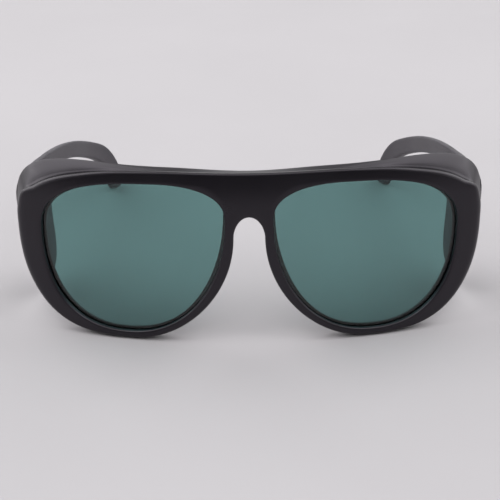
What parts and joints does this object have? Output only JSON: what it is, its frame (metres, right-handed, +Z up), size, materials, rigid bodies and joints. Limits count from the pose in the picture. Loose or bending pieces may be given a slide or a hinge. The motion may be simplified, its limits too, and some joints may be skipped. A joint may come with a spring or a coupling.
{
  "type": "spectacle frame",
  "caption": "Black fit-over safety spectacles with a hooded brow, curved green filter lenses and two folding temples with side shields and small side windows.",
  "frame": {"origin": "on the table, under the middle of the spectacles between front and back and between the two temples", "axes": "+X is the wearer's left, +Y points back along the temples, away from the front, +Z is up"},
  "size_m": [0.1606, 0.122, 0.0606],
  "materials": {
    "frame_plastic": "black moulded nylon with a very fine grain, satin on the rims",
    "temple_plastic": "black moulded nylon with a very fine grain",
    "filter_lens": "polished green filter glass",
    "side_filter": "polished green filter pane",
    "hinge_steel": "fine brushed nickel silver",
    "screw_steel": "bright turned steel"
  },
  "bodies": {
    "front": {"front_frame": "frame_plastic", "lens_left": "filter_lens", "lens_right": "filter_lens", "front_hinge_left": "hinge_steel", "front_hinge_right": "hinge_steel", "hinge_screw_left": "screw_steel", "hinge_screw_right": "screw_steel"},
    "temple_left": {"temple_left": "temple_plastic", "temple_hinge_left": "hinge_steel", "side_window_left": "side_filter"},
    "temple_right": {"temple_right": "temple_plastic", "temple_hinge_right": "hinge_steel", "side_window_right": "side_filter"}
  },
  "joints": [
    {"name": "temple_left_fold", "type": "hinge", "parent": "front", "child": "temple_left", "pos_m": [0.0755, -0.03434, 0.041], "axis": [0, 0, 1], "range_deg": [0, 84]},
    {"name": "temple_right_fold", "type": "hinge", "parent": "front", "child": "temple_right", "pos_m": [-0.0755, -0.03434, 0.041], "axis": [0, 0, -1], "range_deg": [0, 76]}
  ]
}
